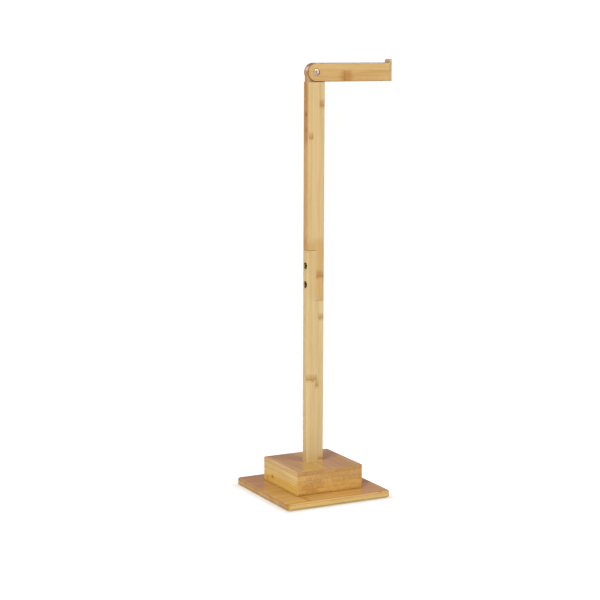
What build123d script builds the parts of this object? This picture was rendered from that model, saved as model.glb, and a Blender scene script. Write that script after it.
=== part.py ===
"""Free-standing toilet paper stand in laminated bamboo, with an arm that folds up at the top of its pole.

Millimetres, +Z up. The origin is on the floor, under the middle of the base plate. The arm points along +X
and the front of the stand faces -Y.
"""

import os

from build123d import *

# Foot pads under the base plate
PAD_DIAMETER = 16.0
PAD_THICKNESS = 1.5
PAD_INSET = 17.0
PAD_EDGE_RADIUS = 0.4

# Base plate
PLATE_SIDE = 190.0
PLATE_THICKNESS = 12.0
PLATE_CORNER_RADIUS = 7.5
PLATE_EDGE_RADIUS = 2.5

# Block on the plate: two boards glued face to face
BLOCK_SIDE = 121.0
LOWER_BOARD_THICKNESS = 17.0
UPPER_BOARD_THICKNESS = 23.0
BLOCK_CORNER_RADIUS = 1.0
BOARD_EDGE_CHAMFER = 0.4
BLOCK_FOOT_CHAMFER = 1.0

# Pole in two lengths, and the lap that joins them
POLE_WIDTH = 30.0
POLE_DEPTH = 18.0
POLE_CORNER_RADIUS = 2.0
POLE_RISE = 625.4
LAP_RISE = 270.9
LAP_LENGTH = 82.6
END_CHAMFER = 0.4
MORTISE_DEPTH = 10.0
MORTISE_CLEARANCE = 0.15

# Tongue at the top of the pole, which the arm's fork straddles
TONGUE_THICKNESS = 9.0
SHOULDER_GAP = 0.3

# Arm
ARM_REACH = 140.0
ARM_HEIGHT = 30.0
ARM_EDGE_RADIUS = 1.5
CHEEK_THICKNESS = 3.25
SLOT_END_GAP = 1.0

# End stop glued on the arm's tip
END_STOP_THICKNESS = 4.7
END_STOP_RISE = 5.8
END_STOP_TOP_RADIUS = 3.0
END_STOP_EDGE_RADIUS = 1.0

# Pivot: a bolt and a sleeve nut through the fork, with a plain washer each side of the tongue
HINGE_WASHER_THICKNESS = 0.5
HINGE_WASHER_DIAMETER = 15.0
PIVOT_HEAD_DIAMETER = 10.6
PIVOT_HEAD_THICKNESS = 1.1
PIVOT_POCKET_DEPTH = 1.5
PIVOT_SLEEVE_DIAMETER = 7.0
PIVOT_SLEEVE_SHORTFALL = 0.5
PIVOT_BOLT_DIAMETER = 5.0
PIVOT_BOLT_LENGTH = 10.0

# Bolts and sleeve nuts through the lap
LAP_BOLT_SPACING = 31.0
LAP_HEAD_DIAMETER = 10.6
LAP_HEAD_THICKNESS = 1.5
LAP_POCKET_DEPTH = 3.0
LAP_SLEEVE_DIAMETER = 8.0
LAP_SLEEVE_LENGTH = 16.0
LAP_BOLT_DIAMETER = 6.0
LAP_BOLT_LENGTH = 20.0

# Bolts that hold the pole down, and the threaded inserts in the pole's foot
FOOT_BOLT_SPACING = 15.0
FOOT_BOLT_DIAMETER = 6.0
FOOT_HEAD_DIAMETER = 10.0
FOOT_HEAD_HEIGHT = 6.0
FOOT_POCKET_DIAMETER = 13.0
FOOT_POCKET_DEPTH = 8.0
FOOT_WASHER_DIAMETER = 12.0
FOOT_WASHER_THICKNESS = 1.2
FOOT_THREAD_ENGAGEMENT = 14.0
INSERT_DIAMETER = 9.0
INSERT_LENGTH = 16.0
INSERT_RING_COUNT = 4
INSERT_RING_DEPTH = 0.4

# Wood screws that pull the block onto the plate
SCREW_SPACING = 84.0
SCREW_DIAMETER = 4.0
SCREW_HEAD_DIAMETER = 8.0
SCREW_BITE = 26.0
SCREW_POINT_LENGTH = 5.0

# Tool recesses in the heads
CROSS_RECESS_SPAN = 6.0
CROSS_RECESS_WIDTH = 1.3
CROSS_RECESS_DEPTH = 0.8
HEX_RECESS_RATIO = 0.55
HEX_RECESS_DEPTH_RATIO = 0.6
HEAD_RIM_RADIUS = 0.3

# Spare depth at the blind end of a screw's or an insert's hole
HOLE_END_GAP = 1.0

# Clearances, each on the radius
HEAD_CLEARANCE = 0.4
PIN_CLEARANCE = 0.05
BOLT_HOLE_CLEARANCE = 0.3
WASHER_BORE_CLEARANCE = 0.2

# Heights above the floor
plate_bottom = PAD_THICKNESS
plate_top = plate_bottom + PLATE_THICKNESS
glue_line = plate_top + LOWER_BOARD_THICKNESS
block_top = glue_line + UPPER_BOARD_THICKNESS
pole_foot = block_top - MORTISE_DEPTH
lap_bottom = block_top + LAP_RISE
lap_top = lap_bottom + LAP_LENGTH
shoulder = block_top + POLE_RISE
arm_bottom = shoulder + SHOULDER_GAP
pivot_height = arm_bottom + ARM_HEIGHT / 2
arm_top = arm_bottom + ARM_HEIGHT
foot_bolt_seat = plate_bottom + FOOT_POCKET_DEPTH

# Widths and lengths that follow from the pieces that meet
slot_width = TONGUE_THICKNESS + 2 * HINGE_WASHER_THICKNESS
arm_depth = slot_width + 2 * CHEEK_THICKNESS
arm_end = ARM_REACH - END_STOP_THICKNESS
pivot_seat = arm_depth / 2 - PIVOT_POCKET_DEPTH
lap_seat = POLE_WIDTH / 2 - LAP_POCKET_DEPTH
lap_middle = (lap_bottom + lap_top) / 2
lap_bolt_heights = [lap_middle + side * LAP_BOLT_SPACING / 2 for side in (-1, 1)]
foot_bolt_xs = [side * FOOT_BOLT_SPACING / 2 for side in (-1, 1)]
screw_places = [(x * SCREW_SPACING / 2, y * SCREW_SPACING / 2) for x in (-1, 1) for y in (-1, 1)]
screw_length = PLATE_THICKNESS + SCREW_BITE

# Places of edges that differ by less than this count as the same
EDGE_TOLERANCE = 1e-4

# Directions that pins and bolts point in
UP = (0, 0, 1)
ALONG_ARM = (1, 0, 0)
TO_REAR = (0, 1, 0)
TO_FRONT = (0, -1, 0)
BACK_ALONG_ARM = (-1, 0, 0)


def rod(start, direction, length, diameter):
    """A plain round bar from a point, along a direction."""
    placed = Plane(origin=start, z_dir=direction)
    return placed * Cylinder(diameter / 2, length, align=(Align.CENTER, Align.CENTER, Align.MIN))


def bored(piece, holes):
    """The piece with each of the holes cut from it."""
    for hole in holes:
        piece -= hole
    return piece


def edges_at_height(piece, height):
    """The level edges of a piece at one height."""
    level = piece.edges().filter_by(lambda edge: abs(edge.bounding_box().size.Z) < EDGE_TOLERANCE)
    return level.filter_by(lambda edge: abs(edge.center().Z - height) < EDGE_TOLERANCE)


def cross_recess(depth):
    """The cutter for a cross-shaped screwdriver recess, opening downwards at the origin."""
    down = (Align.CENTER, Align.CENTER, Align.MIN)
    bar = Box(CROSS_RECESS_SPAN, CROSS_RECESS_WIDTH, depth, align=down)
    return bar + Rot(Z=90) * bar


def hex_recess(head_diameter, head_height):
    """The cutter for a hexagon key recess, opening downwards at the origin."""
    outline = RegularPolygon(head_diameter * HEX_RECESS_RATIO / 2, 6)
    return extrude(outline, head_height * HEX_RECESS_DEPTH_RATIO)


def disc_head(diameter, thickness):
    """A flat round head standing on the origin, with its outer rim at the bottom softened."""
    head = Cylinder(diameter / 2, thickness, align=(Align.CENTER, Align.CENTER, Align.MIN))
    return fillet(edges_at_height(head, 0), HEAD_RIM_RADIUS)


def connector_bolt(head_diameter, head_thickness, bolt_diameter, length, recess):
    """A flat-headed bolt: the head ends at the origin's level, and the shank rises from it."""
    shank = Cylinder(bolt_diameter / 2 - PIN_CLEARANCE, length, align=(Align.CENTER, Align.CENTER, Align.MIN))
    head = disc_head(head_diameter, head_thickness) - recess
    return shank + Pos(Z=-head_thickness) * head


def sleeve_nut(head_diameter, head_thickness, sleeve_diameter, thread_diameter, length):
    """A flat-headed nut on a long sleeve, threaded from the sleeve's open end."""
    sleeve = Cylinder(sleeve_diameter / 2, length, align=(Align.CENTER, Align.CENTER, Align.MIN))
    thread = Cylinder(thread_diameter / 2, length, align=(Align.CENTER, Align.CENTER, Align.MIN))
    head = disc_head(head_diameter, head_thickness) - cross_recess(CROSS_RECESS_DEPTH)
    return sleeve + Pos(Z=-head_thickness) * head - thread


def head_pocket(seat, direction, depth, head_diameter):
    """The cutter for the round pocket that a flat head sits in, out from its seat."""
    return rod(seat, direction, depth, head_diameter + 2 * HEAD_CLEARANCE)


def foot_pad():
    """One thin round pad, standing on the floor."""
    pad = Cylinder(PAD_DIAMETER / 2, PAD_THICKNESS, align=(Align.CENTER, Align.CENTER, Align.MIN))
    return fillet(edges_at_height(pad, 0), PAD_EDGE_RADIUS)


def foot_pads():
    """The four pads near the plate's corners."""
    place = PLATE_SIDE / 2 - PAD_INSET
    corners = [(-place, -place), (place, -place), (place, place), (-place, place)]
    return [Pos(x, y, 0) * foot_pad() for x, y in corners]


def wood_screw():
    """A countersunk screw, point up, with its head's flat face at the origin."""
    thread_radius = SCREW_DIAMETER / 2
    head_height = (SCREW_HEAD_DIAMETER - SCREW_DIAMETER) / 2
    outline = Polyline(
        (0, 0),
        (SCREW_HEAD_DIAMETER / 2, 0),
        (thread_radius, head_height),
        (thread_radius, screw_length - SCREW_POINT_LENGTH),
        (0, screw_length),
        close=True,
    )
    profile = Plane.XZ * make_face(outline)
    return revolve(profile, Axis.Z) - cross_recess(CROSS_RECESS_DEPTH)


def screw_hole():
    """The cutter for a wood screw's hole, with its countersink at the origin."""
    hole_radius = SCREW_DIAMETER / 2 + PIN_CLEARANCE
    sink_radius = SCREW_HEAD_DIAMETER / 2 + PIN_CLEARANCE
    shaft = Cylinder(hole_radius, screw_length + HOLE_END_GAP, align=(Align.CENTER, Align.CENTER, Align.MIN))
    sink = Cone(
        sink_radius,
        hole_radius,
        sink_radius - hole_radius,
        align=(Align.CENTER, Align.CENTER, Align.MIN),
    )
    return shaft + sink


def block_screws():
    """The four wood screws from under the plate into the block."""
    return [Pos(x, y, plate_bottom) * wood_screw() for x, y in screw_places]


def screw_holes():
    """The four holes that the wood screws fill."""
    return [Pos(x, y, plate_bottom) * screw_hole() for x, y in screw_places]


def foot_bolt_holes():
    """The clearance holes up through the plate and the block, with the pockets for the heads."""
    diameter = FOOT_BOLT_DIAMETER + 2 * BOLT_HOLE_CLEARANCE
    holes = [rod((x, 0, plate_bottom), UP, block_top - plate_bottom, diameter) for x in foot_bolt_xs]
    pockets = [rod((x, 0, plate_bottom), UP, FOOT_POCKET_DEPTH, FOOT_POCKET_DIAMETER) for x in foot_bolt_xs]
    return holes + pockets


def base_plate():
    """The square plate, with rounded corners and rounded-over edges."""
    outline = RectangleRounded(PLATE_SIDE, PLATE_SIDE, PLATE_CORNER_RADIUS)
    plate = Pos(Z=plate_bottom) * extrude(outline, PLATE_THICKNESS)
    rims = edges_at_height(plate, plate_top) + edges_at_height(plate, plate_bottom)
    plate = fillet(rims, PLATE_EDGE_RADIUS)
    return bored(plate, screw_holes() + foot_bolt_holes())


def block_board(bottom, thickness, bottom_chamfer):
    """One square board of the block, its edges broken so that the glue lines show."""
    outline = RectangleRounded(BLOCK_SIDE, BLOCK_SIDE, BLOCK_CORNER_RADIUS)
    board = Pos(Z=bottom) * extrude(outline, thickness)
    board = chamfer(edges_at_height(board, bottom), bottom_chamfer)
    return chamfer(edges_at_height(board, bottom + thickness), BOARD_EDGE_CHAMFER)


def block_lower_board():
    """The board glued to the plate."""
    board = block_board(plate_top, LOWER_BOARD_THICKNESS, BLOCK_FOOT_CHAMFER)
    return bored(board, screw_holes() + foot_bolt_holes())


def block_upper_board():
    """The board with the mortise for the pole's foot."""
    board = block_board(glue_line, UPPER_BOARD_THICKNESS, BOARD_EDGE_CHAMFER)
    socket = RectangleRounded(
        POLE_WIDTH + 2 * MORTISE_CLEARANCE,
        POLE_DEPTH + 2 * MORTISE_CLEARANCE,
        POLE_CORNER_RADIUS + MORTISE_CLEARANCE,
    )
    mortise = Pos(Z=pole_foot) * extrude(socket, MORTISE_DEPTH)
    return bored(board, screw_holes() + foot_bolt_holes() + [mortise])


def pole_length(bottom, top):
    """A plain length of the pole's section."""
    section = RectangleRounded(POLE_WIDTH, POLE_DEPTH, POLE_CORNER_RADIUS)
    return Pos(Z=bottom) * extrude(section, top - bottom)


def half_section(side, bottom, top):
    """The cutter that takes away the half of the pole on one side of the lap's seam."""
    middle = side * POLE_WIDTH / 2
    return Pos(middle, 0, (bottom + top) / 2) * Box(POLE_WIDTH, 2 * POLE_DEPTH, top - bottom)


def lap_holes():
    """The two stepped holes through the lap, with a pocket for a head on each side."""
    cutters = []
    for height in lap_bolt_heights:
        bolt_seat = (-lap_seat, 0, height)
        nut_seat = (lap_seat, 0, height)
        cutters.append(rod(bolt_seat, ALONG_ARM, 2 * lap_seat, LAP_SLEEVE_DIAMETER + 2 * PIN_CLEARANCE))
        cutters.append(head_pocket(bolt_seat, BACK_ALONG_ARM, LAP_POCKET_DEPTH, LAP_HEAD_DIAMETER))
        cutters.append(head_pocket(nut_seat, ALONG_ARM, LAP_POCKET_DEPTH, LAP_HEAD_DIAMETER))
    return cutters


def chamfered_ends(pole, heights):
    """The pole with its level end edges broken, apart from those on the lap's seam."""
    for height in heights:
        level = edges_at_height(pole, height)
        on_seam = level.filter_by_position(Axis.X, -EDGE_TOLERANCE, EDGE_TOLERANCE).filter_by(Axis.Y)
        pole = chamfer(level - on_seam, END_CHAMFER)
    return pole


def insert_holes():
    """The two blind holes in the pole's foot for the threaded inserts."""
    diameter = INSERT_DIAMETER + 2 * PIN_CLEARANCE
    return [rod((x, 0, pole_foot), UP, INSERT_LENGTH + HOLE_END_GAP, diameter) for x in foot_bolt_xs]


def lower_pole():
    """The lower length: its foot stands in the mortise, and its half of the lap is on the -X side."""
    pole = pole_length(pole_foot, lap_top)
    pole -= half_section(1, lap_bottom, lap_top)
    pole = chamfered_ends(pole, [lap_bottom, lap_top])
    return bored(pole, insert_holes() + lap_holes())


def pivot_bore(clearance):
    """The cutter for the sleeve's bore through fork and tongue."""
    diameter = PIVOT_SLEEVE_DIAMETER + 2 * clearance
    return rod((0, -POLE_DEPTH, pivot_height), TO_REAR, 2 * POLE_DEPTH, diameter)


def upper_pole():
    """The upper length: its half of the lap is on the +X side, and a round-topped tongue stands on it."""
    pole = pole_length(lap_bottom, shoulder)
    pole -= half_section(-1, lap_bottom, lap_top)
    pole = chamfered_ends(pole, [lap_bottom, lap_top, shoulder])
    rise = pivot_height - shoulder
    standing = (Align.CENTER, Align.CENTER, Align.MIN)
    stem = Pos(Z=shoulder - rise) * Box(POLE_WIDTH, TONGUE_THICKNESS, 2 * rise, align=standing)
    round_top = rod((0, -TONGUE_THICKNESS / 2, pivot_height), TO_REAR, TONGUE_THICKNESS, POLE_WIDTH)
    tongue = stem + round_top
    return bored(pole + tongue, lap_holes() + [pivot_bore(PIN_CLEARANCE)])


def arm():
    """The arm: a bar with a round, slotted end that straddles the tongue."""
    bar = Pos(arm_end / 2, pivot_height) * Rectangle(arm_end, ARM_HEIGHT)
    round_end = Pos(0, pivot_height) * Circle(ARM_HEIGHT / 2)
    side = Plane.XZ * (bar + round_end)
    piece = extrude(side, arm_depth / 2, both=True)
    outline = piece.faces().sort_by(Axis.Y)[0].edges() + piece.faces().sort_by(Axis.Y)[-1].edges()
    outer = outline.filter_by(lambda edge: edge.center().X < arm_end - EDGE_TOLERANCE)
    piece = fillet(outer, ARM_EDGE_RADIUS)
    slot_end = POLE_WIDTH / 2 + SLOT_END_GAP
    slot = Pos(slot_end - POLE_WIDTH, 0, pivot_height) * Box(2 * POLE_WIDTH, slot_width, 2 * ARM_HEIGHT)
    pockets = [
        head_pocket((0, -pivot_seat, pivot_height), TO_FRONT, PIVOT_POCKET_DEPTH, PIVOT_HEAD_DIAMETER),
        head_pocket((0, pivot_seat, pivot_height), TO_REAR, PIVOT_POCKET_DEPTH, PIVOT_HEAD_DIAMETER),
    ]
    return bored(piece, [slot, pivot_bore(PIN_CLEARANCE)] + pockets)


def arm_end_stop():
    """The thin upright board on the arm's tip, whose top stands proud to hold the roll."""
    height = ARM_HEIGHT + END_STOP_RISE
    blank = Pos(arm_end, 0, arm_bottom) * Box(
        END_STOP_THICKNESS, arm_depth, height, align=(Align.MIN, Align.CENTER, Align.MIN)
    )
    along = blank.edges().filter_by(Axis.X)
    blank = fillet(along.group_by(Axis.Z)[-1], END_STOP_TOP_RADIUS)
    along = blank.edges().filter_by(Axis.X).group_by(Axis.Z)[0]
    blank = fillet(along, ARM_EDGE_RADIUS)
    outer_face = blank.faces().sort_by(Axis.X)[-1]
    blank = fillet(outer_face.edges(), END_STOP_EDGE_RADIUS)
    inner_top = blank.faces().sort_by(Axis.X)[0].edges().sort_by(Axis.Z)[-1]
    return fillet(inner_top, END_STOP_EDGE_RADIUS)


def pivot_bolt():
    """The bolt whose head shows on the arm's front."""
    bolt = connector_bolt(
        PIVOT_HEAD_DIAMETER,
        PIVOT_HEAD_THICKNESS,
        PIVOT_BOLT_DIAMETER,
        PIVOT_BOLT_LENGTH,
        cross_recess(CROSS_RECESS_DEPTH),
    )
    return Plane(origin=(0, -pivot_seat, pivot_height), z_dir=TO_REAR) * bolt


def pivot_sleeve_nut():
    """The sleeve that the arm turns on, headed at the rear."""
    nut = sleeve_nut(
        PIVOT_HEAD_DIAMETER,
        PIVOT_HEAD_THICKNESS,
        PIVOT_SLEEVE_DIAMETER,
        PIVOT_BOLT_DIAMETER,
        2 * pivot_seat - PIVOT_SLEEVE_SHORTFALL,
    )
    return Plane(origin=(0, pivot_seat, pivot_height), z_dir=TO_FRONT) * nut


def hinge_washer(direction):
    """One thin washer between the tongue and a cheek of the fork."""
    start = (0, direction[1] * TONGUE_THICKNESS / 2, pivot_height)
    disc = rod(start, direction, HINGE_WASHER_THICKNESS, HINGE_WASHER_DIAMETER)
    return disc - pivot_bore(WASHER_BORE_CLEARANCE)


def lap_bolts():
    """The two bolts headed on the -X side."""
    hexagon = hex_recess(LAP_HEAD_DIAMETER, LAP_HEAD_THICKNESS)
    bolt = connector_bolt(LAP_HEAD_DIAMETER, LAP_HEAD_THICKNESS, LAP_BOLT_DIAMETER, LAP_BOLT_LENGTH, hexagon)
    return [Plane(origin=(-lap_seat, 0, z), z_dir=ALONG_ARM) * bolt for z in lap_bolt_heights]


def lap_sleeve_nuts():
    """The two sleeve nuts headed on the +X side."""
    nut = sleeve_nut(
        LAP_HEAD_DIAMETER, LAP_HEAD_THICKNESS, LAP_SLEEVE_DIAMETER, LAP_BOLT_DIAMETER, LAP_SLEEVE_LENGTH
    )
    return [Plane(origin=(lap_seat, 0, z), z_dir=BACK_ALONG_ARM) * nut for z in lap_bolt_heights]


def foot_bolts():
    """The two bolts up through plate and block into the pole's foot."""
    seat = foot_bolt_seat - FOOT_WASHER_THICKNESS
    length = pole_foot + FOOT_THREAD_ENGAGEMENT - seat
    hexagon = hex_recess(FOOT_HEAD_DIAMETER, FOOT_HEAD_HEIGHT)
    bolt = connector_bolt(FOOT_HEAD_DIAMETER, FOOT_HEAD_HEIGHT, FOOT_BOLT_DIAMETER, length, hexagon)
    return [Pos(x, 0, seat) * bolt for x in foot_bolt_xs]


def foot_bolt_washers():
    """The two washers under the heads of the foot bolts."""
    bore = FOOT_BOLT_DIAMETER + 2 * WASHER_BORE_CLEARANCE
    washers = []
    for x in foot_bolt_xs:
        start = (x, 0, foot_bolt_seat - FOOT_WASHER_THICKNESS)
        disc = rod(start, UP, FOOT_WASHER_THICKNESS, FOOT_WASHER_DIAMETER)
        washers.append(disc - rod(start, UP, FOOT_WASHER_THICKNESS, bore))
    return washers


def foot_inserts():
    """The two threaded inserts in the pole's foot, each ringed outside to grip the wood."""
    inserts = []
    step = INSERT_LENGTH / (2 * INSERT_RING_COUNT + 1)
    for x in foot_bolt_xs:
        start = (x, 0, pole_foot)
        sleeve = rod(start, UP, INSERT_LENGTH, INSERT_DIAMETER)
        core = rod(start, UP, INSERT_LENGTH, INSERT_DIAMETER - 2 * INSERT_RING_DEPTH)
        for ring in range(INSERT_RING_COUNT):
            base = (x, 0, pole_foot + step * (2 * ring + 1))
            groove = rod(base, UP, step, 2 * INSERT_DIAMETER) - core
            sleeve -= groove
        inserts.append(sleeve - rod(start, UP, INSERT_LENGTH, FOOT_BOLT_DIAMETER))
    return inserts


def write(name, solids):
    """Write one node: a single solid, or a group of separate ones."""
    if isinstance(solids, list):
        solids = Compound(children=[Solid(piece.solid().wrapped) for piece in solids])
    export_step(solids, f"parts/{name}.step")


os.makedirs("parts", exist_ok=True)
write("base_plate", base_plate())
write("block_lower_board", block_lower_board())
write("block_upper_board", block_upper_board())
write("lower_pole", lower_pole())
write("upper_pole", upper_pole())
write("arm", arm())
write("arm_end_stop", arm_end_stop())
write("pivot_bolt", pivot_bolt())
write("pivot_sleeve_nut", pivot_sleeve_nut())
write("hinge_washer_front", hinge_washer(TO_FRONT))
write("hinge_washer_rear", hinge_washer(TO_REAR))
write("lap_bolts", lap_bolts())
write("lap_sleeve_nuts", lap_sleeve_nuts())
write("foot_bolts", foot_bolts())
write("foot_bolt_washers", foot_bolt_washers())
write("foot_inserts", foot_inserts())
write("block_screws", block_screws())
for number, pad in enumerate(foot_pads(), start=1):
    write(f"foot_pad_{number}", pad)
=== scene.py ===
"""Looks of a free-standing toilet paper stand in laminated bamboo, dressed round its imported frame.

Metres, +Z up, with outlines, threads and patterns in millimetres. The arm points along +X, and the front of
the stand faces -Y.
"""

import math

import bmesh
import bpy
from mathutils import Euler, Matrix, Vector


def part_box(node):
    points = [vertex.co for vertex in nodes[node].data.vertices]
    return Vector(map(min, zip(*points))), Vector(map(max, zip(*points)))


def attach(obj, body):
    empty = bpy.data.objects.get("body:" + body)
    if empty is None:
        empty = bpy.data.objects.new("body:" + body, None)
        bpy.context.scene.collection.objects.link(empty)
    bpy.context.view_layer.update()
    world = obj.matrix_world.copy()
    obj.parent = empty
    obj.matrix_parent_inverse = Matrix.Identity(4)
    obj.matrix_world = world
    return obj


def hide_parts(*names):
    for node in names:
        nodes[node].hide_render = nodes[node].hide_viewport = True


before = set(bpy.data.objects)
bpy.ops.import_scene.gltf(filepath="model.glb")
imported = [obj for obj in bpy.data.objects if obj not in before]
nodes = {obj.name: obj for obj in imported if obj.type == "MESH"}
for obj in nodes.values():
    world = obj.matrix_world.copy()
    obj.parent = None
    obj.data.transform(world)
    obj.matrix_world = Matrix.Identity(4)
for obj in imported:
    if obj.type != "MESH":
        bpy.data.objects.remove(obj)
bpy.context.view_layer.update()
MM = 0.001

# Base plate
# A square board pressed from three layers of bamboo strips, which all run along the arm, so that its left
# and right edges show end grain. It has rounded corners and edges and a clear satin lacquer.


class Wire:
    """A socket in a node tree. Arithmetic on it adds Math nodes, and add() makes any other node."""

    def __init__(self, tree, socket=None):
        self.tree = tree
        self.socket = socket

    def add(self, kind, settings=None, inputs=None, output=0):
        """A new node: its settings are set first, then the values or wires of its inputs."""
        node = self.tree.nodes.new(kind)
        for name, value in (settings or {}).items():
            setattr(node, name, value)
        for name, value in (inputs or {}).items():
            if isinstance(value, Wire):
                self.tree.links.new(value.socket, node.inputs[name])
            else:
                node.inputs[name].default_value = value
        return Wire(self.tree, node.outputs[output] if len(node.outputs) else None)

    def also(self, output):
        """Another output of the same node."""
        return Wire(self.tree, self.socket.node.outputs[output])

    def maths(self, operation, *others):
        return self.add("ShaderNodeMath", {"operation": operation}, dict(enumerate((self, *others))))

    def smooth(self, low, high):
        """0 below low, 1 above high, and an even curve between."""
        limits = {"Value": self, "From Min": low, "From Max": high}
        return self.add("ShaderNodeMapRange", {"interpolation_type": "SMOOTHSTEP"}, limits)

    def blend(self, share, lower, upper, way="MIX"):
        """A colour laid over another by a share."""
        settings = {"data_type": "RGBA", "blend_type": way}
        return self.add("ShaderNodeMix", settings, {0: share, 6: lower, 7: upper}, 2)

    def paint(self, low, high):
        """The colour that lies between two colours at this wire's value."""
        return self.blend(self, low, high)

    def __add__(self, other):
        return self.maths("ADD", other)

    __radd__ = __add__

    def __sub__(self, other):
        return self.maths("SUBTRACT", other)

    def __rsub__(self, other):
        return self.add("ShaderNodeMath", {"operation": "SUBTRACT"}, {0: other, 1: self})

    def __mul__(self, other):
        return self.maths("MULTIPLY", other)

    __rmul__ = __mul__

    def __truediv__(self, other):
        return self.maths("DIVIDE", other)


def swatch(red, green, blue):
    """A colour named in steps of 255, as the linear values that a shader takes."""
    return tuple(((step / 255 + 0.055) / 1.055) ** 2.4 for step in (red, green, blue)) + (1.0,)


def new_material(name):
    """An empty node material, with a wire to start its tree from."""
    material = bpy.data.materials.new(name)
    material.use_nodes = True
    material.node_tree.nodes.clear()
    return material, Wire(material.node_tree)


def noise(place, scale, detail, roughness=0.5):
    """Soft noise at a place."""
    values = {"Vector": place, "Scale": scale, "Detail": detail, "Roughness": roughness}
    return place.add("ShaderNodeTexNoise", {}, values)


def bump(height, strength, depth):
    """Small relief from a height, as deep as depth in metres."""
    return height.add("ShaderNodeBump", {}, {"Height": height, "Strength": strength, "Distance": depth})


def coat(wire, finish):
    """Close a material's tree with one surface of the given finish."""
    surface = wire.add("ShaderNodeBsdfPrincipled", {}, finish)
    wire.add("ShaderNodeOutputMaterial", {}, {"Surface": surface})


def dress(piece, material):
    """Give a piece one material in all its slots."""
    piece.data.materials.clear()
    piece.data.materials.append(material)


# The distance between the joints of a cane, in millimetres, and the tints laid over the colour of the wood
CANE_JOINT_SPACING = 236.0
SHADY_TONE = (0.86, 0.81, 0.72, 1)
LIGHT_TONE = (1.14, 1.19, 1.28, 1)
FIBRE_TINT = (0.62, 0.46, 0.26, 1)
CUT_FIBRE_TINT = (0.5, 0.36, 0.2, 1)
KNOT_TINT = (0.74, 0.55, 0.3, 1)
KNOT_LINE_TINT = (0.5, 0.32, 0.16, 1)
GLUE_TINT = (0.5, 0.36, 0.22, 1)


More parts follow.
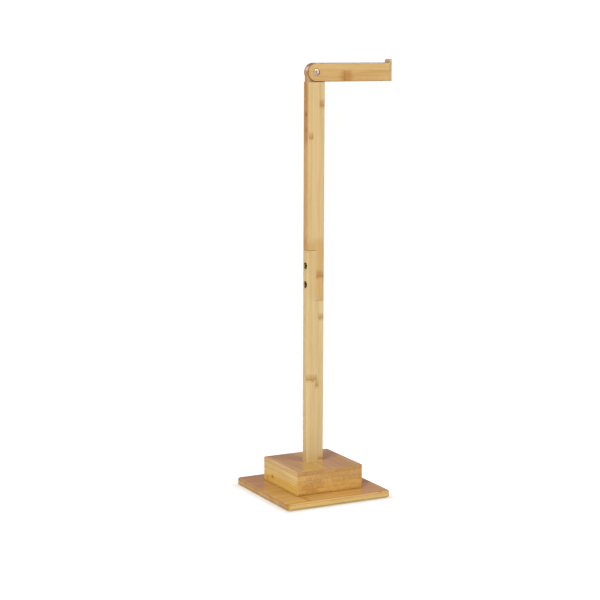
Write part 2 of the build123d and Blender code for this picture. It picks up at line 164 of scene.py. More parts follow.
def bamboo(
    name,
    axes,
    strips,
    seams,
    colours,
    end,
    flank=(1, 1, 1, 1),
    flank_turn=(0.5, 0.85),
    knots=(),
    patches=(),
    figure=1.0,
    seed=0.0,
):
    """Laminated bamboo under clear lacquer.

    axes names the fibres' axis, the one that the strips lie along side by side, and the one through the
    plies. strips is a strip's width and the place of one seam between strips, and seams has the places of
    the glue lines between plies, all in millimetres. colours has one for each ply. end tints the faces
    across the fibres, and flank those that show the strips' edges: flank_turn is how far a face has turned
    that way where the tint begins and where it is full. A knot is the box that it fills, as lowest and
    highest values along the second and third axis, then its middle and length along the fibres. A patch is
    a box of another tone: its lowest and highest value along each of the three axes, and its tint. figure
    is how strongly the tone varies, and seed gives the piece a pattern of its own.
    """
    material, wire = new_material(name)
    place = wire.add("ShaderNodeTexCoord", output="Object")
    facing = wire.add("ShaderNodeSeparateXYZ", inputs={0: place.also("Normal")})
    split = wire.add("ShaderNodeSeparateXYZ", inputs={0: place})
    along, across, down = (split.also(axis) * 1000.0 for axis in axes)

    # Each strip of each ply has three random numbers of its own.
    strip_width, seam = strips
    ply = 0.0
    ply_seam = 0.0
    for height in seams:
        ply = down.maths("GREATER_THAN", height) + ply
        ply_seam = (1.0 - (down - height).maths("ABSOLUTE").smooth(0.1, 0.42)).maths("MAXIMUM", ply_seam)
    shelf = (across - seam) / strip_width + (ply * 0.382).maths("FRACT")
    strip = shelf.maths("FLOOR")
    cell = wire.add("ShaderNodeCombineXYZ", inputs={0: ply, 1: strip, 2: seed})
    draw = wire.add("ShaderNodeTexWhiteNoise", {"noise_dimensions": "3D"}, {"Vector": cell}, "Color")
    chance = wire.add("ShaderNodeSeparateColor", inputs={0: draw})
    tone, shift, phase = (chance.also(channel) for channel in ("Red", "Green", "Blue"))

    def grain(places, detail, roughness=0.5):
        """Noise at a point that is given as its three places."""
        point = wire.add("ShaderNodeCombineXYZ", inputs=dict(enumerate(places)))
        return noise(point, 1.0, detail, roughness)

    # The fibres sway a little from side to side, and the lines at a knot are ragged.
    sway = grain((along / 60.0, across / 14.0, strip + ply * 7.0), 1.0) - 0.5
    ragged = grain((along / 7.0, across / 1.6, down / 1.6), 2.0) - 0.5
    waved = across + sway * 6.0

    def streaks(length, pitch, detail):
        """Noise drawn out along the fibres, at another place for each strip."""
        places = (along / length + shift * 31.0, waved / pitch + tone * 47.0, down / pitch + phase * 59.0)
        return grain(places, detail, 0.6)

    fine = streaks(30.0, 0.4, 3.0)
    broad = streaks(110.0, 2.2, 2.0)
    drift = streaks(120.0, 8.0, 1.0)
    bundles = fine.smooth(0.55, 0.7)

    def knot_at(offset, length):
        """The brown halo of a cane's joint and its dark ragged line, at an offset along the fibres."""
        rough = offset + ragged * length * 0.5 + sway * 8.0
        halo = (1.0 - (rough / length).maths("ABSOLUTE").smooth(0.15, 0.75)) * (0.45 + fine * 1.1)
        core = 1.0 - (rough + length * 0.16).maths("ABSOLUTE").smooth(0.3, 1.5)
        return halo, core * (0.3 + broad * 1.2)

    # Most strips past the first ply have joints at even distances. The knots that are given lie in boxes.
    spacing = along / CANE_JOINT_SPACING + phase
    scattered = (spacing.maths("FRACT") - 0.5) * CANE_JOINT_SPACING
    halo, core = knot_at(scattered, 9.0)
    inner = tone.maths("GREATER_THAN", 0.3) * ply.maths("GREATER_THAN", 0.5)
    stain, line = halo * inner * 0.7, core * inner * 0.7
    for low, high, near, far, middle, length in knots:
        box = across.smooth(low - 1.0, low) * (1.0 - across.smooth(high, high + 1.0))
        box = box * down.smooth(near - 0.5, near) * (1.0 - down.smooth(far, far + 0.5))
        halo, core = knot_at(along - middle, length)
        stain = stain + halo * box
        line = line + core * box

    # Seams between strips and between plies, where the glue has darkened the edges.
    strip_gap = (0.5 - (shelf - strip - 0.5).maths("ABSOLUTE")) * strip_width
    glue = (1.0 - strip_gap.smooth(0.05, 0.3)).maths("MAXIMUM", ply_seam)
    ends = facing.also(axes[0]).maths("ABSOLUTE").smooth(0.25, 0.75)
    flanks = facing.also(axes[1]).maths("ABSOLUTE").smooth(*flank_turn)

    colour = colours[0]
    for number, ply_colour in enumerate(colours[1:], start=1):
        colour = ply.maths("GREATER_THAN", number - 0.5).paint(colour, ply_colour)
    for *limits, tint in patches:
        inside = 1.0
        reaches = (along + sway * 30.0, across, down)
        for reach, soft, low, high in zip(reaches, (8.0, 0.3, 0.3), limits[::2], limits[1::2]):
            within = reach.smooth(low - soft, low + soft) * (1.0 - reach.smooth(high - soft, high + soft))
            inside = within * inside
        colour = wire.blend(inside, colour, tint, "MULTIPLY")
    mood = 0.5 + (tone - 0.5) * (0.3 + ends * 0.12) * figure
    mood = mood + (broad - 0.5) * 0.9 * figure + (drift - 0.5) * 0.7 * figure
    colour = wire.blend(1.0, colour, mood.paint(SHADY_TONE, LIGHT_TONE), "MULTIPLY")
    colour = wire.blend(bundles * 0.2, colour, FIBRE_TINT, "MULTIPLY")
    colour = wire.blend(flanks * (1.0 - ends), colour, flank, "MULTIPLY")
    colour = wire.blend(ends, colour, end, "MULTIPLY")
    colour = wire.blend(ends * bundles * 0.5, colour, CUT_FIBRE_TINT, "MULTIPLY")
    colour = wire.blend(stain * 0.66, colour, KNOT_TINT, "MULTIPLY")
    colour = wire.blend(line * 0.45, colour, KNOT_LINE_TINT, "MULTIPLY")
    colour = wire.blend(glue * 0.5, colour, GLUE_TINT, "MULTIPLY")

    rise = fine * 0.5 + broad * 0.3 - glue * 0.5 - line * 0.4 - ends * bundles * 0.6
    gloss = 0.1 + fine * 0.08 + ends * 0.2
    relief = bump(rise, 0.3, 0.00005)
    coat(wire, {"Base Color": colour, "Roughness": gloss, "Normal": relief, "IOR": 1.5})
    return material


plate_low, plate_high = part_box("base_plate")
dress(
    nodes["base_plate"],
    bamboo(
        "plate_bamboo",
        "XYZ",
        (19.0, 0.0),
        [plate_low.z / MM + 3.0, plate_high.z / MM - 2.6],
        [swatch(198, 172, 104), swatch(217, 180, 99), swatch(203, 157, 82)],
        end=(0.8, 0.66, 0.46, 1),
        figure=1.6,
        seed=1.0,
    ),
)

# Foot pads
# Four moulded rubber discs, glued on near the plate's corners. Rings moulded in their undersides grip the
# floor.


def link(name, mesh):
    """A new object of a mesh, in the scene."""
    piece = bpy.data.objects.new(name, mesh)
    bpy.context.scene.collection.objects.link(piece)
    return piece


def turned(name, outline, steps=48, closed=False):
    """A piece turned about Z from an outline of (radius, height) in millimetres, closed for a ring."""
    shape = bmesh.new()
    rings = []
    for radius, height in outline:
        if radius == 0:
            rings.append([shape.verts.new((0, 0, height * MM))] * steps)
            continue
        angles = [2 * math.pi * step / steps for step in range(steps)]
        ring = [(radius * math.cos(angle), radius * math.sin(angle), height) for angle in angles]
        rings.append([shape.verts.new(Vector(corner) * MM) for corner in ring])
    pairs = list(zip(rings, rings[1:]))
    if closed:
        pairs.append((rings[-1], rings[0]))
    for lower, upper in pairs:
        for step in range(steps):
            after = (step + 1) % steps
            corners = [lower[step], lower[after], upper[after], upper[step]]
            shape.faces.new(list(dict.fromkeys(corners)))
    bmesh.ops.recalc_face_normals(shape, faces=shape.faces)
    mesh = bpy.data.meshes.new(name)
    shape.to_mesh(mesh)
    shape.free()
    mesh.shade_smooth()
    mesh.set_sharp_from_angle(angle=math.radians(35))
    return link(name, mesh)


# The inputs of the hardware group that describe a thread
THREAD_SIZES = [
    "Thread Radius",
    "Thread Depth",
    "Thread Pitch",
    "Thread Start",
    "Thread Length",
    "Point Length",
]


def hardware_tree():
    """The node group that finishes a set of like pieces.

    It adds a screw thread to the piece, if that has a length, keeps the piece's own coordinates in an
    attribute for its material, and sets copies out in columns and rows.
    """
    tree = bpy.data.node_groups.new("hardware_set", "GeometryNodeTree")
    places = ["First Place", "Column Step", "Row Step", "Turn"]
    tree.interface.new_socket("Piece", in_out="INPUT", socket_type="NodeSocketGeometry")
    for name in THREAD_SIZES:
        tree.interface.new_socket(name, in_out="INPUT", socket_type="NodeSocketFloat")
    for name in places:
        tree.interface.new_socket(name, in_out="INPUT", socket_type="NodeSocketVector")
    for name in ("Columns", "Rows"):
        tree.interface.new_socket(name, in_out="INPUT", socket_type="NodeSocketInt")
    tree.interface.new_socket("Material", in_out="INPUT", socket_type="NodeSocketMaterial")
    tree.interface.new_socket("Set", in_out="OUTPUT", socket_type="NodeSocketGeometry")
    given = Wire(tree).add("NodeGroupInput", output="Piece")
    radius, thread_depth, pitch, start, length, point = (given.also(name) for name in THREAD_SIZES)
    first, column_step, row_step, turn = (given.also(name) for name in places)

    # A cylinder with eight rings of corners to each turn of the thread, each corner moved in or out.
    segments = (length / pitch * 8.0).maths("CEIL")
    bar = {"Vertices": 32, "Side Segments": segments, "Radius": 1.0, "Depth": length}
    blank = given.add("GeometryNodeMeshCylinder", {}, bar)
    position = given.add("GeometryNodeInputPosition")
    split = given.add("ShaderNodeSeparateXYZ", inputs={0: position})
    x, y, z = (split.also(axis) for axis in "XYZ")
    height = z + length / 2.0
    angle = y.maths("ARCTAN2", x)
    wind = height / pitch - angle / (2 * math.pi)
    wave = ((wind.maths("FRACT") - 0.5).maths("ABSOLUTE") * 2.0).smooth(0.1, 0.9)
    left = length - height
    taper = (left / point.maths("MAXIMUM", 0.0001)).maths("MINIMUM", 1.0)
    reach = (radius - thread_depth * wave) * (0.08 + taper * 0.92)
    ring = {0: angle.maths("COSINE") * reach, 1: angle.maths("SINE") * reach, 2: height + start}
    moved = given.add("ShaderNodeCombineXYZ", inputs=ring)
    thread = given.add("GeometryNodeSetPosition", {}, {"Geometry": blank, "Position": moved})
    smooth_thread = given.add("GeometryNodeSetShadeSmooth", {}, {0: thread})
    has_thread = length.maths("GREATER_THAN", 0.0001)
    either = {"Switch": has_thread, "True": smooth_thread}
    chosen = given.add("GeometryNodeSwitch", {"input_type": "GEOMETRY"}, either)

    joint = given.add("GeometryNodeJoinGeometry")
    tree.links.new(given.socket, joint.socket.node.inputs[0])
    tree.links.new(chosen.socket, joint.socket.node.inputs[0])
    own_place = {"Geometry": joint, "Name": "turned_place", "Value": position}
    kept = given.add("GeometryNodeStoreNamedAttribute", {"data_type": "FLOAT_VECTOR"}, own_place)

    # Copies along a line of columns, and that line along the rows.
    columns = {"Count": given.also("Columns"), "Start Location": first, "Offset": column_step}
    line = given.add("GeometryNodeMeshLine", {}, columns)
    rows = given.add("GeometryNodeMeshLine", {}, {"Count": given.also("Rows"), "Offset": row_step})
    grid = given.add("GeometryNodeInstanceOnPoints", {}, {"Points": rows, "Instance": line})
    spots = given.add("GeometryNodeRealizeInstances", {}, {0: grid})
    turned_copies = {"Points": spots, "Instance": kept, "Rotation": turn}
    copies = given.add("GeometryNodeInstanceOnPoints", {}, turned_copies)
    whole = given.add("GeometryNodeRealizeInstances", {}, {0: copies})
    dressed = {"Geometry": whole, "Material": given.also("Material")}
    painted = given.add("GeometryNodeSetMaterial", {}, dressed)
    given.add("NodeGroupOutput", {}, {0: painted})
    return tree


hardware = hardware_tree()

# The thread sizes of a piece that has no thread
NO_THREAD = (1.0, 0.0, 1.0, 0.0, 0.0, 0.0)


def set_out(
    piece,
    body,
    stands_for,
    material,
    first,
    columns=1,
    column_step=(0, 0, 0),
    rows=1,
    row_step=(0, 0, 0),
    turn=(0, 0, 0),
    thread=NO_THREAD,
):
    """Finish a piece with the hardware group, as one plain mesh that stands for its CAD nodes.

    thread is its radius, depth, pitch, start, length and point length, in millimetres.
    """
    modifier = piece.modifiers.new("set", "NODES")
    modifier.node_group = hardware
    values = dict(zip(THREAD_SIZES, [size * MM for size in thread]))
    values.update({"First Place": first, "Column Step": column_step, "Row Step": row_step, "Turn": turn})
    values.update({"Columns": columns, "Rows": rows, "Material": material})
    for item in hardware.interface.items_tree:
        if item.in_out == "INPUT" and item.name in values:
            modifier[item.identifier] = values[item.name]
    bpy.context.view_layer.update()
    seen = piece.evaluated_get(bpy.context.evaluated_depsgraph_get())
    mesh = bpy.data.meshes.new_from_object(seen)
    piece.modifiers.remove(modifier)
    piece.data = mesh
    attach(piece, body)
    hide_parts(*stands_for)


def rubber():
    """Black moulded rubber, a little dusty."""
    material, wire = new_material("pad_rubber_black")
    place = wire.add("ShaderNodeTexCoord", output="Object")
    dust = noise(place, 900.0, 4.0)
    cloud = noise(place, 120.0, 2.0)
    colour = (dust * 0.5 + cloud * 0.5).smooth(0.35, 0.7).paint(swatch(38, 37, 36), swatch(66, 64, 61))
    coat(wire, {"Base Color": colour, "Roughness": 0.62 + dust * 0.25, "Normal": bump(dust, 0.4, 0.0001)})
    return material


pad_low, pad_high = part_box("foot_pad_1")
pad_radius = (pad_high.x - pad_low.x) / 2 / MM
pad_height = pad_high.z / MM
rim_width, rim_rounding = 0.8, 0.4
ring_depth, ring_pitch = 0.35, 1.2
ring_slope, ring_crest = 0.15, 0.4
ring_radius = 1.0
pad_outline = [(0, ring_depth)]
while ring_radius + ring_pitch < pad_radius - rim_width:
    crest_start = ring_radius + ring_slope
    crest_end = crest_start + ring_crest
    pad_outline += [(ring_radius, ring_depth), (crest_start, 0)]
    pad_outline += [(crest_end, 0), (crest_end + ring_slope, ring_depth)]
    ring_radius += ring_pitch
pad_outline += [(pad_radius - rim_width, 0), (pad_radius - rim_rounding, 0)]
pad_outline += [(pad_radius - rim_rounding / 4, rim_rounding * 0.3), (pad_radius, rim_rounding)]
pad_outline += [(pad_radius, pad_height), (0, pad_height)]
pad_step = abs(pad_low.x + pad_high.x)
set_out(
    turned("foot_pads", pad_outline),
    "stand",
    [f"foot_pad_{number}" for number in range(1, 5)],
    rubber(),
    ((pad_low.x + pad_high.x) / 2, (pad_low.y + pad_high.y) / 2, 0),
    columns=2,
    column_step=(pad_step, 0, 0),
    rows=2,
    row_step=(0, pad_step, 0),
)

# Block
# Two square boards of pressed bamboo, glued face to face on the plate. Their strips run from front to
# back, so the left side shows them lengthwise and the front shows their cut ends.
for node, seam_rises, colours, knots, seed in (
    (
        "block_lower_board",
        [2.9, 9.5],
        [swatch(214, 170, 78), swatch(221, 180, 86), swatch(218, 176, 82)],
        [(-61.0, -50.0, 24.0, 30.0, 30.0, 9.0), (-61.0, -50.0, 24.5, 27.5, 28.0, 6.0)],
        2.0,
    ),
    (
        "block_upper_board",
        [7.5, 16.1],
        [swatch(214, 174, 88), swatch(218, 181, 96), swatch(206, 164, 88)],
        [],
        3.0,
    ),
):
    board_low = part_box(node)[0]
    dress(
        nodes[node],
        bamboo(
            f"{node}_bamboo",
            "YXZ",
            (20.0, 4.0),
            [board_low.z / MM + rise for rise in seam_rises],
            colours,
            end=(0.88, 0.8, 0.86, 1),
            knots=knots,
            figure=1.9,
            seed=seed,
        ),
    )

# Block screws
# Four countersunk wood screws of zinc-plated steel, driven up through the plate into the block.


def recess(piece, cutters):
    """Take each cutter's shape out of a piece."""
    for cutter in cutters:
        hollow = piece.modifiers.new("recess", "BOOLEAN")
        hollow.operation = "DIFFERENCE"
        hollow.solver = "EXACT"
        hollow.object = cutter
        bpy.context.view_layer.update()
        mesh = bpy.data.meshes.new_from_object(piece.evaluated_get(bpy.context.evaluated_depsgraph_get()))
        piece.modifiers.remove(hollow)
        piece.data = mesh
        bpy.data.objects.remove(cutter)
    piece.data.shade_smooth()
    piece.data.set_sharp_from_angle(angle=math.radians(35))
    return piece


def cross_cutters(span, width, depth, floor):
    """Two tapered bars, crossed, that cut a screwdriver recess up from a height in millimetres."""
    bars = []
    for turn in (0, math.pi / 2):
        shape = bmesh.new()
        bmesh.ops.create_cube(shape, size=1.0)
        for corner in shape.verts:
            deep = corner.co.z > 0
            corner.co.x *= span * (0.45 if deep else 1.04)
            corner.co.y *= width * (0.7 if deep else 1.02)
            corner.co.z = floor + depth if deep else floor - 0.1
        into_place = Matrix.Rotation(turn, 4, "Z") @ Matrix.Scale(MM, 4)
        bmesh.ops.transform(shape, matrix=into_place, verts=shape.verts)
        mesh = bpy.data.meshes.new("recess_bar")
        shape.to_mesh(mesh)
        shape.free()
        bars.append(link("recess_bar", mesh))
    return bars


def metal(wire, rings, stain, colour, worn, gloss):
    """Close a metal's tree: two tones mixed by its tool lines and stains, and the lines in low relief."""
    shade = (rings * 0.5 + stain * 0.5).smooth(0.35, 0.65).paint(worn, colour)
    relief = bump(rings, 0.3, 0.00004)
    coat(wire, {"Base Color": shade, "Metallic": 1.0, "Roughness": gloss, "Normal": relief})


def plated(name, colour, worn, gloss):
    """Plated steel or turned metal: fine lathe rings, faint stains and a soft shine."""
    material, wire = new_material(name)
    place = wire.add("ShaderNodeAttribute", {"attribute_name": "turned_place"}, output="Vector")
    split = wire.add("ShaderNodeSeparateXYZ", inputs={0: place})
    x, y, z = (split.also(axis) * 1000.0 for axis in "XYZ")
    radius = (x * x + y * y).maths("SQRT")
    lines = wire.add("ShaderNodeCombineXYZ", inputs={0: radius * 9.0, 1: z * 9.0})
    rings = noise(lines, 1.0, 2.0)
    stain = noise(place, 420.0, 3.0)
    metal(wire, rings, stain, colour, worn, gloss + stain * 0.12 + rings * 0.08)
    return material


zinc = plated("zinc_plate", swatch(196, 198, 203), swatch(150, 153, 160), 0.26)
screw_low, screw_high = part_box("block_screws")
screw_length = (screw_high.z - screw_low.z) / MM
screw_head, screw_shank, screw_core = 4.0, 1.95, 1.35
screw_plain_rise = 13.0
screw_thread_depth, screw_pitch, screw_point = 0.6, 1.8, 5.0
screw_recess_span, screw_recess_width, screw_recess_depth = 4.6, 1.0, 1.8
screw_step = (screw_high.x - screw_low.x) - 2 * screw_head * MM
screw = turned(
    "block_screws",
    [
        (0, 0),
        (screw_head - 0.15, 0),
        (screw_head, 0.12),
        (screw_head - 0.1, 0.35),
        (screw_shank, screw_head - screw_shank + 0.1),
        (screw_shank, screw_plain_rise),
        (screw_core, screw_plain_rise + screw_thread_depth),
        (0, screw_plain_rise + screw_thread_depth),
    ],
)
recess(screw, cross_cutters(screw_recess_span, screw_recess_width, screw_recess_depth, 0))
set_out(
    screw,
    "stand",
    ["block_screws"],
    zinc,
    (screw_low.x + screw_head * MM, screw_low.x + screw_head * MM, screw_low.z),
    columns=2,
    column_step=(screw_step, 0, 0),
    rows=2,
    row_step=(0, screw_step, 0),
    thread=(
        screw_shank,
        screw_thread_depth,
        screw_pitch,
        screw_plain_rise,
        screw_length - screw_plain_rise,
        screw_point,
    ),
)

# Lower pole
# The foot half of the pole, glued up from three plies of pale bamboo and cut back for the lap.
dress(
    nodes["lower_pole"],
    bamboo(
        "lower_pole_bamboo",
        "ZXY",
        (14.0, -8.8),
        [-3.0, 3.0],
        [swatch(213, 186, 127), swatch(208, 181, 123), swatch(211, 183, 125)],
        end=(0.5, 0.34, 0.2, 1),
        flank=(1.08, 1.08, 0.98, 1),
        knots=[
            (5.0, 15.0, -9.0, -3.0, 297.5, 12.0),
            (-15.0, 2.0, -9.0, -3.0, 195.0, 12.0),
            (-1.0, 5.2, -9.0, -3.0, 184.0, 13.0),
            (5.2, 15.0, -9.0, -3.0, 57.5, 6.0),
        ],
        patches=[(326.0, 420.0, -16.0, 16.0, -10.0, 10.0, (0.96, 0.93, 0.88, 1))],
        seed=4.0,
    ),
)

# Foot inserts
# Two threaded brass inserts screwed up into the pole's foot.


def plain_metal(name, colour, worn, gloss):
    """Metal on a node that keeps its CAD mesh: like the plated one, with its lines along Z."""
    material, wire = new_material(name)
    place = wire.add("ShaderNodeTexCoord", output="Object")
    stretched = wire.add("ShaderNodeMapping", {}, {"Vector": place, "Scale": (300.0, 300.0, 9000.0)})
    stain = noise(place, 420.0, 3.0)
    metal(wire, noise(stretched, 1.0, 2.0), stain, colour, worn, gloss + stain * 0.15)
    return material


dress(nodes["foot_inserts"], plain_metal("turned_brass", swatch(214, 178, 104), swatch(178, 138, 72), 0.3))

# Foot bolts and washers
# Two socket-headed steel bolts, up through plate and block into the inserts, each with a washer under its
# head.
bolt_low, bolt_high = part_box("foot_bolts")
bolt_head = (bolt_high.y - bolt_low.y) / 2 / MM
bolt_head_height = 6.0
bolt_rise = (bolt_high.z - bolt_low.z) / MM - bolt_head_height
bolt_step = (bolt_high.x - bolt_low.x) - 2 * bolt_head * MM
bolt_shank = 2.95
bolt_thread_length = 26.0
bolt_thread_depth, bolt_pitch, bolt_point = 0.55, 1.0, 1.2
plain_rise = bolt_rise - bolt_thread_length
key_radius, key_depth = 2.8, 3.4


def shank_end(radius, rise, step):
    """The outline where a plain shank steps in to the core that its thread is cut on."""
    return [(radius, rise), (radius - step, rise + 0.4), (0, rise + 0.4)]


foot_bolt = turned(
    "foot_bolts",
    [
        (0, -bolt_head_height),
        (bolt_head - 0.5, -bolt_head_height),
        (bolt_head, -bolt_head_height + 0.5),
        (bolt_head, -0.2),
        (bolt_head - 0.2, 0),
        (bolt_shank + 0.2, 0),
        (bolt_shank, 0.2),
    ]
    + shank_end(bolt_shank, plain_rise, 0.6),
    steps=64,
)
socket_mouth = -bolt_head_height - 0.1
socket_floor = -bolt_head_height + key_depth
socket = [(0, socket_mouth), (key_radius, socket_mouth)]
socket += [(key_radius, socket_floor), (0, socket_floor + 0.8)]
recess(foot_bolt, [turned("socket_cutter", socket, steps=6)])
set_out(
    foot_bolt,
    "stand",
    ["foot_bolts"],
    zinc,
    (bolt_low.x + bolt_head * MM, 0, bolt_low.z + bolt_head_height * MM),
    columns=2,
    column_step=(bolt_step, 0, 0),
    thread=(bolt_shank, bolt_thread_depth, bolt_pitch, plain_rise, bolt_thread_length, bolt_point),
)

washer_low, washer_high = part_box("foot_bolt_washers")
washer_radius = (washer_high.y - washer_low.y) / 2 / MM
washer_height = (washer_high.z - washer_low.z) / MM
washer_bore = 3.2
washer = turned(
    "foot_bolt_washers",
    [
        (washer_bore, 0.1),
        (washer_bore + 0.1, 0),
        (washer_radius - 0.2, 0),
        (washer_radius, 0.2),
        (washer_radius, washer_height - 0.05),
        (washer_radius - 0.05, washer_height),
        (washer_bore + 0.1, washer_height),
        (washer_bore, washer_height - 0.1),
    ],
    closed=True,
)
set_out(
    washer,
    "stand",
    ["foot_bolt_washers"],
    zinc,
    (washer_low.x + washer_radius * MM, 0, washer_low.z),
    columns=2,
    column_step=(bolt_step, 0, 0),
)

# Upper pole
# The top half of the pole, lapped over the lower one. Its back plies are a darker bamboo, which shows on
# the left side. A round-topped tongue stands on it for the arm's fork.
dress(
    nodes["upper_pole"],
    bamboo(
        "upper_pole_bamboo",
        "ZXY",
        (14.0, -8.8),
        [-3.0, 3.0],
        [swatch(212, 183, 126), swatch(207, 170, 108), swatch(210, 174, 112)],
        end=(0.5, 0.34, 0.2, 1),
        flank=(0.96, 0.88, 0.76, 1),
        knots=[
            (0.5, 15.0, -9.0, -3.0, 366.0, 13.0),
            (-13.5, -6.5, -9.0, -3.0, 592.0, 12.0),
            (5.2, 15.0, -9.0, -3.0, 643.0, 14.0),
            (-15.0, -8.8, -4.0, 2.0, 627.0, 7.0),
        ],
        patches=[
            (300.0, 424.0, -16.0, 16.0, -10.0, 10.0, (0.91, 0.82, 0.62, 1)),
            (580.0, 690.0, -16.0, -14.0, -7.5, 10.0, (0.86, 0.77, 0.7, 1)),
        ],
        seed=5.0,
    ),
)

# Lap bolts and sleeve nuts
# Two flat-headed nickel-plated bolts with hexagon sockets hold the lap, each in a long sleeve nut from the
# other side. Their heads are sunk in round pockets, and their nickel is painted dark brown as painted shade
# for those pockets.
nickel = plated("nickel_plate", swatch(252, 234, 204), swatch(206, 184, 150), 0.3)
# Painted shade: this nickel is dark brown to stand for the shade in the pockets round the lap's heads.
painted_shade_nickel = plated("painted_shade_nickel_plate", swatch(124, 112, 92), swatch(88, 78, 62), 0.3)
lap_low, lap_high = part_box("lap_bolts")
lap_head = (lap_high.y - lap_low.y) / 2 / MM
lap_head_height = 1.5
lap_length = (lap_high.x - lap_low.x) / MM - lap_head_height
lap_step = (lap_high.z - lap_low.z) - 2 * lap_head * MM
lap_shank = 2.95
lap_plain_rise = 6.0
lap_thread_depth, lap_pitch, lap_point = 0.5, 1.0, 1.0
lap_key_radius, lap_key_depth = 2.3, 2.7
lap_first = (lap_low.x + lap_head_height * MM, 0, lap_low.z + lap_head * MM)
along_arm = (0, math.pi / 2, 0)
back_along_arm = (0, -math.pi / 2, 0)


def flat_head(radius, height):
    """The outline of a flat head below the origin, from its middle to its seat."""
    face = [(0, -height), (radius - 0.35, -height)]
    rim = [(radius - 0.1, -height + 0.1), (radius, -height + 0.35), (radius, 0)]
    return face + rim


lap_bolt = turned(
    "lap_bolts",
    flat_head(lap_head, lap_head_height) + [(lap_shank, 0)] + shank_end(lap_shank, lap_plain_rise, 0.6),
    steps=64,
)
lap_socket_mouth = -lap_head_height - 0.1
lap_socket_floor = -lap_head_height + lap_key_depth
lap_socket = [(0, lap_socket_mouth), (lap_key_radius + 0.3, lap_socket_mouth)]
lap_socket += [(lap_key_radius, lap_socket_mouth + 0.35), (lap_key_radius, lap_socket_floor)]
lap_socket += [(0, lap_socket_floor + 0.7)]
recess(lap_bolt, [turned("socket_cutter", lap_socket, steps=6)])
set_out(
    lap_bolt,
    "stand",
    ["lap_bolts"],
    painted_shade_nickel,
    lap_first,
    columns=2,
    column_step=(0, 0, lap_step),
    turn=along_arm,
    thread=(
        lap_shank,
        lap_thread_depth,
        lap_pitch,
        lap_plain_rise,
        lap_length - lap_plain_rise,
        lap_point,
    ),
)

# The cross recess in the heads of the sleeve nuts
NUT_RECESS_SPAN = 6.0
NUT_RECESS_WIDTH = 1.3


def sleeve(name, head_radius, head_height, sleeve_radius, bore, length):
    """A flat-headed nut on a long sleeve, its bore open at the far end and its head cross-recessed."""
    outline = flat_head(head_radius, head_height)
    outline += [(sleeve_radius, 0), (sleeve_radius, length - 0.3), (sleeve_radius - 0.3, length)]
    outline += [(bore + 0.3, length), (bore, length - 0.3), (bore, 0), (0, -0.0001)]
    piece = turned(name, outline, steps=64)
    return recess(piece, cross_cutters(NUT_RECESS_SPAN, NUT_RECESS_WIDTH, head_height * 0.55, -head_height))


nut_low, nut_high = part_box("lap_sleeve_nuts")
lap_sleeve_radius, lap_bore = 4.0, 3.0
lap_sleeve_length = (nut_high.x - nut_low.x) / MM - lap_head_height
set_out(
    sleeve("lap_sleeve_nuts", lap_head, lap_head_height, lap_sleeve_radius, lap_bore, lap_sleeve_length),
    "stand",
    ["lap_sleeve_nuts"],
    painted_shade_nickel,
    (nut_high.x - lap_head_height * MM, 0, lap_low.z + lap_head * MM),
    columns=2,
    column_step=(0, 0, lap_step),
    turn=back_along_arm,
)

# Arm
# A bar of pressed bamboo, round and slotted at one end to straddle the pole's tongue. A lighter strip runs
# along its upper third. Its top and underside, with their rounded edges, are painted darker as painted
# shade.
arm_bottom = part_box("arm")[0].z / MM
light_strip = arm_bottom + 18.3
dress(
    nodes["arm"],
    bamboo(
        "arm_bamboo",
        "XZY",
        (18.0, light_strip),
        [-2.8, 2.8],
        [swatch(205, 169, 108), swatch(199, 156, 94), swatch(203, 163, 102)],
        end=(0.5, 0.34, 0.2, 1),
        # Painted shade: the top, the underside and their rounded edges are darkened here, where less light
        # falls.
        flank=(0.4, 0.4, 0.41, 1),
        flank_turn=(0.1, 0.6),
        knots=[(arm_bottom, arm_bottom + 16.8, -8.25, -2.8, 55.0, 21.0)],
        patches=[(-20.0, 150.0, arm_bottom - 1.2, light_strip, -10.0, 10.0, (0.94, 0.88, 0.84, 1))],
        figure=1.6,
        seed=6.0,
    ),
)

# End stop
# A thin upright board of a paler strip, glued on the arm's tip. Its top stands proud, so that the roll
# stays on.
stop_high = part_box("arm_end_stop")[1]
dress(
    nodes["arm_end_stop"],
    bamboo(
        "end_stop_bamboo",
        "ZYX",
        (17.0, -8.5),
        [stop_high.x / MM - 2.4],
        [swatch(203, 180, 130), swatch(206, 184, 134)],
        end=(0.7, 0.6, 0.45, 1),
        seed=7.0,
    ),
)

# Hinge washers
# Two thin washers of natural nylon, between the tongue and the two cheeks of the arm's fork.


def nylon():
    """Natural nylon, milky and slightly waxy."""
    material, wire = new_material("natural_nylon")
    place = wire.add("ShaderNodeTexCoord", output="Object")
    cloud = noise(place, 260.0, 3.0)
    colour = cloud.smooth(0.3, 0.7).paint(swatch(214, 210, 196), swatch(228, 225, 214))
    relief = bump(cloud, 0.2, 0.00005)
    coat(wire, {"Base Color": colour, "Roughness": 0.4 + cloud * 0.15, "Normal": relief})
    return material


hinge_nylon = nylon()
for node in ("hinge_washer_front", "hinge_washer_rear"):
    dress(nodes[node], hinge_nylon)

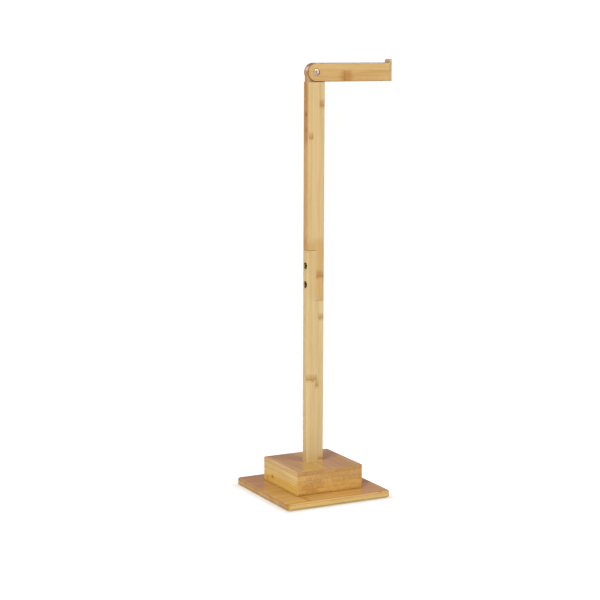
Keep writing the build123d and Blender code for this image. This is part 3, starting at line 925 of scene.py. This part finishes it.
# Pivot bolt and sleeve nut
# The arm turns on a nickel-plated sleeve, headed at the rear and closed at the front by a cross-headed
# bolt. Both heads are sunk in round pockets.
pivot_low, pivot_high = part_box("pivot_bolt")
pivot_head = (pivot_high.x - pivot_low.x) / 2 / MM
pivot_head_height = 1.1
pivot_height = (pivot_low.z + pivot_high.z) / 2
pivot_shank = 2.45
pivot_plain_rise = 3.0
pivot_thread_depth, pivot_pitch, pivot_point = 0.4, 0.8, 0.8
pivot_recess_span, pivot_recess_width, pivot_recess_depth = 6.0, 1.4, 1.6
pivot_sleeve_radius, pivot_bore = 3.5, 2.5
pivot_length = (pivot_high.y - pivot_low.y) / MM - pivot_head_height
to_rear = (-math.pi / 2, 0, 0)
to_front = (math.pi / 2, 0, 0)
pivot_bolt = turned(
    "pivot_bolt",
    flat_head(pivot_head, pivot_head_height)
    + [(pivot_shank, 0)]
    + shank_end(pivot_shank, pivot_plain_rise, 0.5),
    steps=64,
)
recess(
    pivot_bolt,
    cross_cutters(pivot_recess_span, pivot_recess_width, pivot_recess_depth, -pivot_head_height),
)
set_out(
    pivot_bolt,
    "folding_arm",
    ["pivot_bolt"],
    nickel,
    (0, pivot_low.y + pivot_head_height * MM, pivot_height),
    turn=to_rear,
    thread=(
        pivot_shank,
        pivot_thread_depth,
        pivot_pitch,
        pivot_plain_rise,
        pivot_length - pivot_plain_rise,
        pivot_point,
    ),
)
sleeve_low, sleeve_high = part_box("pivot_sleeve_nut")
sleeve_length = (sleeve_high.y - sleeve_low.y) / MM - pivot_head_height
set_out(
    sleeve(
        "pivot_sleeve_nut",
        pivot_head,
        pivot_head_height,
        pivot_sleeve_radius,
        pivot_bore,
        sleeve_length,
    ),
    "folding_arm",
    ["pivot_sleeve_nut"],
    nickel,
    (0, sleeve_high.y - pivot_head_height * MM, pivot_height),
    turn=to_front,
)

# Studio
# A pale floor, a soft sky that is darker near the horizon, and large softboxes in front and behind.
# Sizes and distances are in metres.
FLOOR_RADIUS = 40.0
SOFTBOX_SIDE = 1.6
SOFTBOX_DISTANCE = 3.6
SOFTBOX_AIM_HEIGHT = 0.35
CAMERA_WHITE = (1.05, 1.05, 1.05, 1)


def studio_floor():
    """A wide pale disc under the stand. The camera sees it nearly white, with a faint warm shadow."""
    mesh = bpy.data.meshes.new("studio_floor")
    shape = bmesh.new()
    bmesh.ops.create_circle(shape, cap_ends=True, segments=96, radius=FLOOR_RADIUS)
    shape.to_mesh(mesh)
    shape.free()
    floor = link("studio_floor", mesh)
    material, wire = new_material("studio_floor_paint")
    place = wire.add("ShaderNodeTexCoord", output="Object")
    reach = wire.add("ShaderNodeVectorMath", {"operation": "LENGTH"}, {0: place}, "Value")
    seen = wire.add("ShaderNodeLightPath", output="Is Camera Ray")
    beside = wire.add("ShaderNodeSeparateXYZ", inputs={0: place})
    sideways = beside.maths("ABSOLUTE")
    forwards = beside.also("Y").maths("ABSOLUTE")
    past_plate = sideways.maths("MAXIMUM", forwards) - plate_high.x
    # Painted contact shade: the camera sees the floor darker right at the plate's edge and brighter 2 cm
    # out.
    pale = past_plate.smooth(0.0, 0.02).paint((1.0, 1.0, 1.0, 1), (1.9, 2.0, 2.2, 1))
    lit = wire.add("ShaderNodeBsdfDiffuse", {}, {"Color": pale})
    # Painted warm light: a glow seen round the stand, for light the wood throws on the floor, lightening
    # the shadow under the plate.
    glow = wire.add("ShaderNodeEmission", {}, {"Color": (1.0, 0.93, 0.82, 1), "Strength": 1.0})
    near = wire.add("ShaderNodeMixShader", {}, {0: 0.6, 1: lit, 2: glow})
    far = wire.add("ShaderNodeEmission", {}, {"Color": (1, 1, 1, 1), "Strength": 1.05})
    bright = wire.add("ShaderNodeMixShader", {}, {0: reach.smooth(0.3, 0.6), 1: near, 2: far})
    plain = wire.add("ShaderNodeBsdfDiffuse", {}, {"Color": (0.86, 0.86, 0.86, 1)})
    surface = wire.add("ShaderNodeMixShader", {}, {0: seen, 1: plain, 2: bright})
    wire.add("ShaderNodeOutputMaterial", {}, {"Surface": surface})
    dress(floor, material)


def studio_sky():
    """Light from all round, which the camera sees as white.

    It is dark at the horizon, dim and slightly purple just above, bright higher up and dimmer overhead.
    """
    world = bpy.data.worlds.new("studio_sky")
    world.use_nodes = True
    world.node_tree.nodes.clear()
    wire = Wire(world.node_tree)
    way = wire.add("ShaderNodeTexCoord", output="Generated")
    height = wire.add("ShaderNodeSeparateXYZ", inputs={0: way}).also("Z")
    dark = (0.04, 0.04, 0.05, 1)
    dim = (0.21, 0.14, 0.34, 1)
    bright = (0.4, 0.4, 0.4, 1)
    overhead = (0.2, 0.2, 0.2, 1)
    glow = height.smooth(0.06, 0.17).paint(dark, dim)
    glow = wire.blend(height.smooth(0.34, 0.6), glow, bright)
    glow = wire.blend(height.smooth(0.75, 0.98), glow, overhead)
    seen = wire.add("ShaderNodeLightPath", output="Is Camera Ray")
    colour = wire.blend(seen, glow, CAMERA_WHITE)
    light = wire.add("ShaderNodeBackground", {}, {"Color": colour, "Strength": 1.0})
    wire.add("ShaderNodeOutputWorld", {}, {"Surface": light})
    bpy.context.scene.world = world


def softbox(name, bearing, height, power):
    """A square soft light aimed at the stand.

    Its bearing is in degrees from the front towards the right, and its height in degrees above the floor.
    """
    light = bpy.data.lights.new(name, "AREA")
    light.shape = "SQUARE"
    light.size = SOFTBOX_SIDE
    light.energy = power
    lamp = bpy.data.objects.new(name, light)
    aim = Euler((math.radians(90 - height), 0, math.radians(bearing))).to_matrix()
    lamp.rotation_euler = aim.to_euler()
    lamp.location = Vector((0, 0, SOFTBOX_AIM_HEIGHT)) + aim @ Vector((0, 0, SOFTBOX_DISTANCE))
    lamp.visible_camera = False
    bpy.context.scene.collection.objects.link(lamp)


studio_floor()
studio_sky()
for side, bearing, height, power in (
    ("left", -58, 32, 86.0),
    ("right", 36, 32, 49.0),
    ("rear_left", -160, 27, 18.0),
    ("rear_right", 118, 30, 12.0),
):
    softbox(f"softbox_{side}", bearing, height, power)

# Camera
# It stands front left of the stand, a little above the arm, and looks slightly down.
CAMERA_PLACE = (-1.2689, -2.3698, 0.7442)
CAMERA_HEADING = 27.7
CAMERA_DIP = 8.89
CAMERA_ROLL = 0.19
FOCAL_PIXELS = 1657.9
PICTURE_PIXELS = 600
camera_data = bpy.data.cameras.new("studio_camera")
camera_data.sensor_width = 36.0
camera_data.lens = camera_data.sensor_width * FOCAL_PIXELS / PICTURE_PIXELS
camera_data.clip_start = 0.05
camera_data.clip_end = 200.0
camera = bpy.data.objects.new("studio_camera", camera_data)
level = Euler((math.radians(90 - CAMERA_DIP), 0, math.radians(-CAMERA_HEADING)), "XYZ").to_matrix()
camera.rotation_euler = (level @ Matrix.Rotation(math.radians(CAMERA_ROLL), 3, "Z")).to_euler()
camera.location = CAMERA_PLACE
bpy.context.scene.collection.objects.link(camera)
bpy.context.scene.camera = camera
bpy.context.scene.view_settings.view_transform = "Standard"
